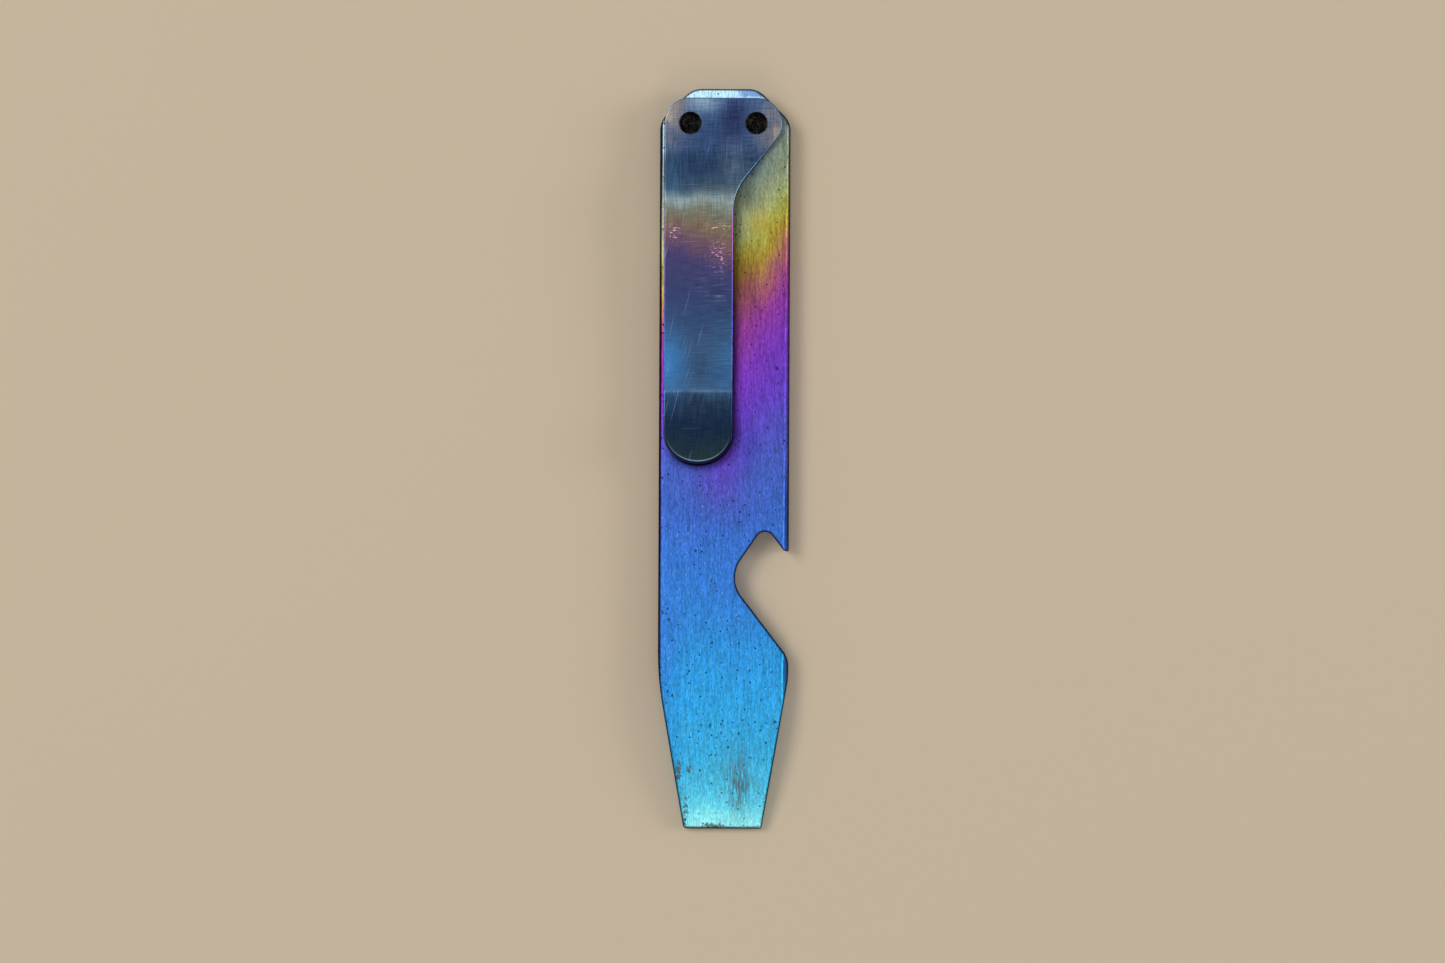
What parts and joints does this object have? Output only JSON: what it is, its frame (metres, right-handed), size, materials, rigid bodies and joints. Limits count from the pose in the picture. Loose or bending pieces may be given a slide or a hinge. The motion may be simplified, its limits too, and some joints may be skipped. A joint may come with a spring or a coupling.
{
  "type": "pocket bottle opener",
  "caption": "Slim flat titanium bottle opener with a cap notch in one side, a tapered pry tip and a bent pocket clip held by two small screws.",
  "frame": {"origin": "centre of the bar's footprint, on its flat back face", "axes": "+Z out of the clip side, +Y towards the clip end, -Y towards the pry tip, +X out of the notch's mouth"},
  "size_m": [0.019, 0.1084, 0.0071],
  "materials": {
    "anodised_bar": "satin brushed titanium, heat coloured from straw through purple to light blue",
    "anodised_clip": "satin brushed titanium, heat coloured steel blue with a straw and purple band",
    "black_oxide_screw": "black oxide, satin"
  },
  "bodies": {
    "bar": {"bar": "anodised_bar", "clip_tab": "anodised_clip", "clip_screw_left": "black_oxide_screw", "clip_screw_right": "black_oxide_screw"},
    "clip_spring": {"clip_arm": "anodised_clip"}
  },
  "joints": [
    {"name": "clip_flex", "type": "hinge", "parent": "bar", "child": "clip_spring", "pos_m": [-0.00382, 0.04105, 0.00596], "axis": [-1, 0, 0], "range_deg": [0, 5], "stiffness_Nm_per_rad": 6.1}
  ]
}
